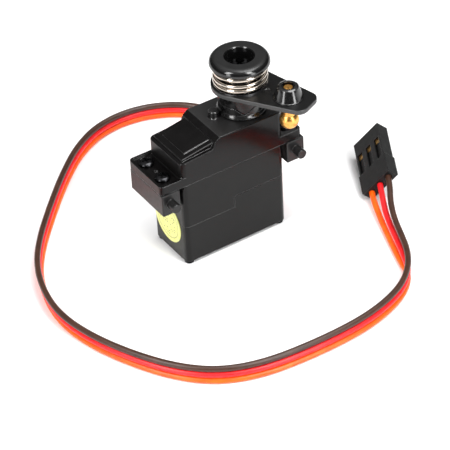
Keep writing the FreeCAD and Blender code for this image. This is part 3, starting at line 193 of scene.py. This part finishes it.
def plastic(name, dark, light, rough, grain=9.0, bump=0.004, spec=0.5, top=None, top_spec=None, edge=0.12, edge_spec=0.9, edge_rough=0.22, deck=None, end=None, high=None):
    """Moulded plastic: two close shades in soft clouds, a fine spark-eroded grain and slightly uneven gloss.
    top and top_spec are the roughness and gloss of the faces that look up, where the mould was finished otherwise.
    deck = (x in mm, roughness, gloss) gives the part of the top beyond x its own finish, and
    end = (roughness, gloss) the faces that look along -X, and high = (z in mm, roughness, gloss) the walls above z."""
    m, nt, p, v = shader(name)
    cloud = noise(nt, v, 0.35, 4, 0.6)
    fine = noise(nt, v, grain, 2, 0.6)
    nt.links.new(ramp(nt, cloud, [(0.35, lin(dark)), (0.65, lin(light))]), p.inputs["Base Color"])
    smear = noise(nt, v, 0.9, 5, 0.7, 0.6)
    uneven = spread(nt, smear, 0.3, 0.7, 0.86, 1.14)
    r, g = rough, spec
    if top is not None:
        t = up_facing(nt)
        rt, gt = top, spec if top_spec is None else top_spec
        if deck is not None:
            s = nt.nodes.new("ShaderNodeSeparateXYZ")
            nt.links.new(v, s.inputs["Vector"])
            far = spread(nt, s.outputs["X"], deck[0] - 0.05, deck[0] + 0.05, 0.0, 1.0)
            rt, gt = blend(nt, far, rt, deck[1]), blend(nt, far, gt, deck[2])
        r, g = blend(nt, t, r, rt), blend(nt, t, g, gt)
    if end is not None:
        geo = nt.nodes.new("ShaderNodeNewGeometry")
        s = nt.nodes.new("ShaderNodeSeparateXYZ")
        nt.links.new(geo.outputs["Normal"], s.inputs["Vector"])
        t = spread(nt, s.outputs["X"], -0.75, -0.95, 0.0, 1.0)
        r, g = blend(nt, t, r, end[0]), blend(nt, t, g, end[1])
    if high is not None:
        s = nt.nodes.new("ShaderNodeSeparateXYZ")
        nt.links.new(v, s.inputs["Vector"])
        t = spread(nt, s.outputs["Z"], high[0] - 0.02, high[0] + 0.02, 0.0, 1.0)
        if top is not None:
            t = maths(nt, "MULTIPLY", t, maths(nt, "SUBTRACT", 1.0, up_facing(nt)))
        r, g = blend(nt, t, r, high[1]), blend(nt, t, g, high[2])
    normal, corner = rounded(nt, edge)
    r, g = blend(nt, corner, r, edge_rough), blend(nt, corner, g, edge_spec)
    nt.links.new(g, p.inputs["Specular IOR Level"])
    nt.links.new(maths(nt, "MULTIPLY", uneven, r), p.inputs["Roughness"])
    bumps(nt, [(fine, bump, 0.5), (cloud, bump * 6, 0.25)], p, normal)
    return m


def metal(name, a, b, rough, grain=4.0, bump=0.002, stretch=(1, 1, 1), spots=None):
    """Metal with drawn or turned lines along the axis that stretch leaves long, and two close shades in soft clouds."""
    m, nt, p, v = shader(name)
    mp = nt.nodes.new("ShaderNodeMapping")
    mp.inputs["Scale"].default_value = stretch
    nt.links.new(v, mp.inputs["Vector"])
    lines = noise(nt, mp.outputs["Vector"], grain, 3, 0.6)
    cloud = noise(nt, v, 0.7, 4, 0.6)
    stops = [(0.35, lin(a)), (0.65, lin(b))]
    nt.links.new(ramp(nt, cloud, stops), p.inputs["Base Color"])
    p.inputs["Metallic"].default_value = 1.0
    nt.links.new(spread(nt, lines, 0.3, 0.7, rough * 0.75, rough * 1.3), p.inputs["Roughness"])
    bumps(nt, [(lines, bump, 0.5)], p)
    return m


def wire_skin(name, dark, light):
    """Soft PVC: an even, slightly waxy colour with faint extrusion marks."""
    m, nt, p, v = shader(name)
    cloud = noise(nt, v, 0.45, 3, 0.5)
    fine = noise(nt, v, 5.0, 3, 0.6)
    nt.links.new(ramp(nt, cloud, [(0.35, lin(dark)), (0.65, lin(light))]), p.inputs["Base Color"])
    nt.links.new(spread(nt, fine, 0.3, 0.7, 0.30, 0.42), p.inputs["Roughness"])
    p.inputs["Specular IOR Level"].default_value = 0.45
    p.inputs["Subsurface Weight"].default_value = 0.08
    p.inputs["Subsurface Radius"].default_value = (0.4, 0.2, 0.1)
    p.inputs["Subsurface Scale"].default_value = 0.3 * MM
    bumps(nt, [(fine, 0.006, 0.4)], p)
    return m


# -------------------------------------------------------------------- lead
# the same route as the CAD lead, as control points of one smooth spline for each wire
SPINE = [
    (12.32, 6.20), (13.80, 6.21), (14.95, 6.75), (15.75, 7.75), (16.45, 9.30), (17.60, 12.40), (18.45, 17.80), (19.00, 24.60), (19.05, 31.00), (17.94, 36.60),
    (12.90, 42.30), (5.30, 45.60), (-3.10, 45.40), (-10.70, 41.60), (-18.00, 35.20), (-25.30, 27.60), (-32.20, 19.80), (-36.75, 13.00),
    (-39.50, 5.20), (-40.30, -2.40), (-38.70, -10.60), (-35.20, -19.20), (-30.60, -27.00), (-24.90, -32.60), (-17.20, -35.60),
    (-7.60, -36.55), (2.40, -36.50), (9.60, -35.30), (15.90, -32.90), (20.30, -29.20),
]
LEAN = [
    (0, 0), (0, 0), (0, 0), (0, 0), (0, 0), (0, 0), (0, 0), (0, 0), (0, 0), (0, 0),
    (0, 0), (0, 0), (0.05, -0.05), (0.1, -0.1), (0.15, -0.1), (0.2, -0.1), (0.25, -0.05), (0.25, 0),
    (0.2, 0), (0.1, 0), (0, 0), (-0.05, -0.05), (-0.1, -0.1), (-0.1, -0.15), (-0.05, -0.2),
    (0, -0.2), (0.05, -0.2), (0.1, -0.15), (0.15, -0.1), (0.1, 0),
]
LIFT = [1.68, 1.67, 1.55, 1.34, 1.08, 0.60, 0.17, 0.02]
WIRES = {
    "brown": (0, 3.10, 2, [(23.00, -25.20, 3.12), (24.60, -21.10, 3.42), (25.95, -17.20, 3.95), (27.90, -13.20, 4.75)], 229.5),
    "red": (1, 1.86, 1, [(22.20, -25.20, 1.88), (24.05, -20.60, 1.95), (25.55, -16.20, 2.22), (27.20, -12.30, 2.85)], 229.7),
    "orange": (2, 0.62, 0, [(21.55, -25.10, 0.63), (23.20, -20.40, 0.64), (24.85, -15.80, 0.78), (26.45, -11.50, 1.12)], 230.0),
}
LEAD_ROUND = 1.2
# the plug's own axes, as it lies on the floor
p_across = Vector((0.5267, -0.3639, 0.7683)).normalized()
p_along = Vector((-0.4728, -0.8765, -0.0910))
p_along = (p_along - p_across * p_along.dot(p_across)).normalized()
p_through = p_across.cross(p_along)
P_WIDE, P_LONG, P_THICK, P_PITCH = 7.92, 14.50, 2.62, 2.54
p_base = Vector((34.09, 7.88, 3.02))
low = min((p_base + p_across * a + p_along * b + p_through * c).z for a in (0, P_WIDE) for b in (0, P_LONG) for c in (0, P_THICK))
p_base.z += 0.02 - low


def in_plug(x, y, z):
    return p_base + p_across * x + p_along * y + p_through * z


wire_mats = {
    "brown": wire_skin("wire_brown", (56, 33, 23), (68, 42, 30)),
    "red": wire_skin("wire_red", (232, 20, 28), (246, 34, 40)),
    "orange": wire_skin("wire_orange", (250, 84, 4), (255, 100, 10)),
}
for colour, (step, height, entry, tail, length) in WIRES.items():
    route = []
    for i, ((x, y), (lx, ly)) in enumerate(zip(SPINE, LEAN)):
        route.append((x + lx * step, y + ly * step, height + (LIFT[i] if i < len(LIFT) else 0)))
    route += tail
    mid = P_WIDE / 2 + P_PITCH * (entry - 1)
    route.append(tuple(in_plug(mid, P_LONG + 1.9, P_THICK / 2)))
    route.append(tuple(in_plug(mid, P_LONG - 2.0, P_THICK / 2)))
    curve = bpy.data.curves.new("wire_" + colour, "CURVE")
    curve.dimensions = "3D"
    spline = curve.splines.new("NURBS")
    spline.points.add(len(route) - 1)
    for pt, co in zip(spline.points, route):
        pt.co = (co[0] * MM, co[1] * MM, co[2] * MM, 1.0)
    spline.order_u = 3
    spline.use_endpoint_u = True
    spline.resolution_u = 10
    curve.bevel_depth = LEAD_ROUND / 2 * MM
    curve.bevel_resolution = 6
    curve.use_fill_caps = True
    wire = bpy.data.objects.new("wire_" + colour, curve)
    scene.collection.objects.link(wire)
    wire.data.materials.append(wire_mats[colour])
    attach(wire, "case")
    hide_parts("lead_" + colour)

# ------------------------------------------------------------ floor, lights
floor_mesh = bpy.data.meshes.new("floor")
fb = bmesh.new()
n = 24
grid = [[fb.verts.new((-3 + 6 * i / n, -3 + 6 * j / n, 0)) for j in range(n + 1)] for i in range(n + 1)]
for i in range(n):
    for j in range(n):
        fb.faces.new((grid[i][j], grid[i + 1][j], grid[i + 1][j + 1], grid[i][j + 1]))
fb.to_mesh(floor_mesh)
fb.free()
floor = bpy.data.objects.new("floor", floor_mesh)
scene.collection.objects.link(floor)
fm = bpy.data.materials.new("floor")
fm.use_nodes = True
fp = fm.node_tree.nodes["Principled BSDF"]
fp.inputs["Base Color"].default_value = (0.92, 0.92, 0.92, 1)
fp.inputs["Roughness"].default_value = 0.9
fp.inputs["Specular IOR Level"].default_value = 0.1
floor_mesh.materials.append(fm)

world = bpy.data.worlds.new("world")
scene.world = world
world.use_nodes = True
wt = world.node_tree
bg = wt.nodes["Background"]
tc = wt.nodes.new("ShaderNodeTexCoord")
sp = wt.nodes.new("ShaderNodeSeparateXYZ")
wt.links.new(tc.outputs["Generated"], sp.inputs["Vector"])
wr = wt.nodes.new("ShaderNodeValToRGB")
wr.color_ramp.elements[0].position = 0.45
wr.color_ramp.elements[0].color = (0.10, 0.10, 0.10, 1)
wr.color_ramp.elements[1].position = 0.95
wr.color_ramp.elements[1].color = (1.0, 1.0, 1.0, 1)
wt.links.new(sp.outputs["Z"], wr.inputs["Fac"])
wt.links.new(wr.outputs["Color"], bg.inputs["Color"])
bg.inputs["Strength"].default_value = 0.7


def softbox(name, azimuth, elevation, distance, width, height, watts, aim=(0.0, 0.004, 0.018)):
    a, e = math.radians(azimuth), math.radians(elevation)
    back = Vector((math.sin(a) * math.cos(e), -math.cos(a) * math.cos(e), math.sin(e)))
    d = bpy.data.lights.new(name, "AREA")
    d.shape = "RECTANGLE"
    d.size = width
    d.size_y = height
    d.energy = watts
    o = bpy.data.objects.new(name, d)
    scene.collection.objects.link(o)
    o.location = Vector(aim) + back * distance
    o.rotation_mode = "QUATERNION"
    o.rotation_quaternion = (-back).to_track_quat("-Z", "Y")
    return o


softbox("softbox_left", -82, 44, 0.62, 0.16, 0.34, 2.3)
softbox("softbox_right", 7, 44, 0.62, 0.16, 0.34, 2.3)
softbox("softbox_top", 60, 74, 0.70, 0.42, 0.42, 3.2)
# the two side boxes reach down to the table
softbox("softbox_left_low", -74, 11, 0.62, 0.15, 0.32, 0.9)
softbox("softbox_right_low", 14, 11, 0.62, 0.15, 0.32, 1.1)

scene.view_settings.view_transform = "Standard"
scene.view_settings.look = "None"
scene.view_settings.exposure = 0.0
scene.view_settings.gamma = 1.0

# ------------------------------------------------------------ the materials
look = {}
look["black_case"] = plastic("black_case", (11, 10, 10), (16, 15, 14), 0.12, grain=7.0, bump=0.003, spec=0.20, top=0.30, top_spec=0.5, edge=0.16, end=(0.4, 0.4))
look["black_upper"] = plastic("black_upper", (9, 8, 8), (14, 13, 13), 0.12, grain=7.0, bump=0.003, spec=0.20, top=0.12, top_spec=0.12, edge=0.18, edge_spec=1.0, deck=(-3.9, 0.44, 0.95), end=(0.4, 0.4), high=(26.78, 0.16, 0.9))
look["black_block"] = plastic("black_block", (14, 14, 14), (22, 21, 21), 0.40, grain=5.0, bump=0.008, spec=0.42, edge=0.12)
look["black_saver"] = plastic("black_saver", (9, 9, 9), (14, 14, 14), 0.17, grain=5.0, bump=0.002, spec=0.55, top=0.36, top_spec=0.36, edge=0.20, edge_spec=1.0, high=(31.9, 0.5, 1.0))
look["black_cap"] = plastic("black_cap", (11, 11, 11), (17, 17, 17), 0.13, grain=5.0, bump=0.003, spec=0.55, top=0.45, top_spec=0.6, edge=0.10)
look["nut_black"] = plastic("nut_black", (9, 9, 9), (14, 14, 14), 0.15, grain=5.0, bump=0.002, spec=1.0, edge=0.12, edge_spec=1.0)
look["plug_black"] = plastic("plug_black", (12, 12, 12), (18, 18, 18), 0.46, grain=4.0, bump=0.010, spec=0.24, edge=0.12)
look["grommet_rubber"] = plastic("grommet_rubber", (20, 20, 20), (27, 27, 27), 0.6, grain=4.0, bump=0.01, spec=0.35)
look["chip_black"] = plastic("chip_black", (24, 24, 25), (33, 33, 34), 0.55, grain=8.0, bump=0.01)
look["gear_plastic"] = plastic("gear_plastic", (226, 222, 208), (238, 234, 222), 0.38, grain=4.0, bump=0.006)
look["motor_white"] = plastic("motor_white", (216, 214, 206), (230, 228, 220), 0.42, grain=4.0, bump=0.006)
look["pot_blue"] = plastic("pot_blue", (32, 58, 120), (42, 72, 140), 0.4, grain=4.0, bump=0.006)
look["board_green"] = plastic("board_green", (14, 82, 44), (22, 98, 54), 0.3, grain=2.0, bump=0.006)
look["armature"] = metal("armature", (120, 116, 112), (142, 138, 132), 0.38, 2.0, 0.01, (1, 1, 6))
look["steel"] = metal("steel", (176, 176, 178), (196, 196, 198), 0.2, 3.0, 0.002)
look["nickel"] = metal("nickel", (196, 186, 174), (222, 212, 200), 0.12, 2.0, 0.001)
look["motor_steel"] = metal("motor_steel", (164, 164, 166), (184, 184, 188), 0.26, 2.0, 0.003, (1, 1, 0.1))
look["gold"] = metal("gold", (234, 168, 84), (246, 188, 104), 0.30, 4.0, 0.0015, (0.3, 0.3, 5))
look["contact_brass"] = metal("contact_brass", (176, 134, 70), (206, 164, 98), 0.3, 3.0, 0.003)
look["black_screw"] = metal("black_screw", (30, 30, 31), (42, 42, 43), 0.34, 3.0, 0.004)
look["dark_screw"] = metal("dark_screw", (44, 44, 46), (60, 60, 62), 0.24, 3.0, 0.003)


def label_look():
    """Pale yellow sticker: a printed ring near the edge and rows of small generic dots, all without letters."""
    m, nt, p, v = shader("label_yellow")
    s = nt.nodes.new("ShaderNodeSeparateXYZ")
    nt.links.new(v, s.inputs["Vector"])
    dy = maths(nt, "SUBTRACT", s.outputs["Y"], 5.02)
    dz = maths(nt, "SUBTRACT", s.outputs["Z"], 7.25)
    r = maths(nt, "SQRT", maths(nt, "ADD", maths(nt, "MULTIPLY", dy, dy), maths(nt, "MULTIPLY", dz, dz)))
    # dots on a grid, each cell with its own chance of being printed
    pitch = 0.62
    cy = maths(nt, "DIVIDE", dy, pitch)
    cz = maths(nt, "DIVIDE", dz, pitch)
    fy = maths(nt, "SUBTRACT", maths(nt, "FRACT", cy), 0.5)
    fz = maths(nt, "SUBTRACT", maths(nt, "FRACT", cz), 0.5)
    rr = maths(nt, "SQRT", maths(nt, "ADD", maths(nt, "MULTIPLY", fy, fy), maths(nt, "MULTIPLY", fz, fz)))
    dot = maths(nt, "LESS_THAN", rr, 0.20)
    cell = nt.nodes.new("ShaderNodeCombineXYZ")
    nt.links.new(maths(nt, "FLOOR", cy), cell.inputs["X"])
    nt.links.new(maths(nt, "FLOOR", cz), cell.inputs["Y"])
    wn = nt.nodes.new("ShaderNodeTexWhiteNoise")
    wn.noise_dimensions = "2D"
    nt.links.new(cell.outputs["Vector"], wn.inputs["Vector"])
    on = maths(nt, "GREATER_THAN", wn.outputs["Value"], 0.55)
    inside = maths(nt, "LESS_THAN", r, 2.9)
    dot = maths(nt, "MULTIPLY", maths(nt, "MULTIPLY", dot, on), inside)
    ring = maths(nt, "LESS_THAN", maths(nt, "ABSOLUTE", maths(nt, "SUBTRACT", r, 3.55)), 0.06)
    ink = maths(nt, "ADD", dot, maths(nt, "MULTIPLY", ring, 0.7), True)
    paper = ramp(nt, noise(nt, v, 1.2, 4, 0.6), [(0.35, lin((224, 229, 132))), (0.65, lin((238, 242, 154)))])
    mix = nt.nodes.new("ShaderNodeMix")
    mix.data_type = "RGBA"
    nt.links.new(ink, mix.inputs[0])
    nt.links.new(paper, mix.inputs[6])
    mix.inputs[7].default_value = lin((92, 94, 50))
    nt.links.new(mix.outputs[2], p.inputs["Base Color"])
    nt.links.new(spread(nt, noise(nt, v, 2.0), 0.3, 0.7, 0.32, 0.5), p.inputs["Roughness"])
    bumps(nt, [(noise(nt, v, 3.0), 0.004, 0.4)], p)
    return m


look["label_yellow"] = label_look()

for name, o in nodes.items():
    if name.startswith("lead_") and name != "lead_grommet":
        continue
    for s in o.material_slots:
        key = s.material.name.split(".")[0] if s.material else None
        if key in look:
            s.material = look[key]

# ------------------------------------------------------------------- spring
def tube_mesh(name, centres, radius, sides=20):
    """A round wire swept along its centre line, with domed ends."""
    bm = bmesh.new()
    rings = []
    count = len(centres)
    up = Vector((0, 0, 1))
    for i, c in enumerate(centres):
        a = centres[max(0, i - 1)]
        b = centres[min(count - 1, i + 1)]
        t = (b - a).normalized()
        side = t.cross(up).normalized()
        top = side.cross(t)
        rings.append([bm.verts.new(c + (side * math.cos(2 * math.pi * k / sides) + top * math.sin(2 * math.pi * k / sides)) * radius) for k in range(sides)])
    for i in range(count - 1):
        for k in range(sides):
            f = bm.faces.new((rings[i][k], rings[i][(k + 1) % sides], rings[i + 1][(k + 1) % sides], rings[i + 1][k]))
            f.smooth = True
    for ring, c, other, flip in ((rings[0], centres[0], centres[1], True), (rings[-1], centres[-1], centres[-2], False)):
        out = (c - other).normalized()
        prev = ring
        for step in (1, 2, 3):
            ang = math.radians(step * 24)
            new = []
            for v in ring:
                off = v.co - c
                new.append(bm.verts.new(c + off * math.cos(ang) + out * radius * 0.6 * math.sin(ang)))
            for k in range(sides):
                q = (prev[k], prev[(k + 1) % sides], new[(k + 1) % sides], new[k])
                f = bm.faces.new(q if not flip else q[::-1])
                f.smooth = True
            prev = new
        f = bm.faces.new(prev if not flip else prev[::-1])
        f.smooth = True
    bmesh.ops.recalc_face_normals(bm, faces=bm.faces)
    me = bpy.data.meshes.new(name)
    bm.to_mesh(me)
    bm.free()
    return me


# right-handed coil round the post, with both end turns closed and ground against the arm and the cap
SPRING_X, SPRING_Y, SPRING_R, SPRING_WIRE = 6.03, 4.615, 4.87, 0.42
FRONT = math.radians(238.6)
coil = []
steps = 48
first_step, last_step = int(-0.6 * steps), int(2.6 * steps)
for i in range(first_step, last_step + 1):
    t = i / steps
    if t < 0:
        z = 33.72 + (33.49 - 33.72) * min(1.0, -t / 0.4)
    elif t < 1:
        z = 33.72 + 1.02 * t
    elif t < 2:
        z = 34.74 + 1.46 * (t - 1)
    else:
        z = 36.20 + (36.23 - 36.20) * min(1.0, (t - 2) / 0.2)
    a = FRONT + 2 * math.pi * t
    coil.append([SPRING_X + SPRING_R * math.cos(a), SPRING_Y + SPRING_R * math.sin(a), z])
# the changes of slope are eased
for _ in range(12):
    zs = [c[2] for c in coil]
    for i in range(1, len(coil) - 1):
        coil[i][2] = (zs[i - 1] + 2 * zs[i] + zs[i + 1]) / 4
spring = bpy.data.objects.new("coil_spring", tube_mesh("coil_spring", [Vector(c) * MM for c in coil], SPRING_WIRE * MM))
scene.collection.objects.link(spring)
spring.data.materials.append(look["nickel"])
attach(spring, "output")
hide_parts("saver_spring")
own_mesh(spring)

bpy.context.view_layer.update()
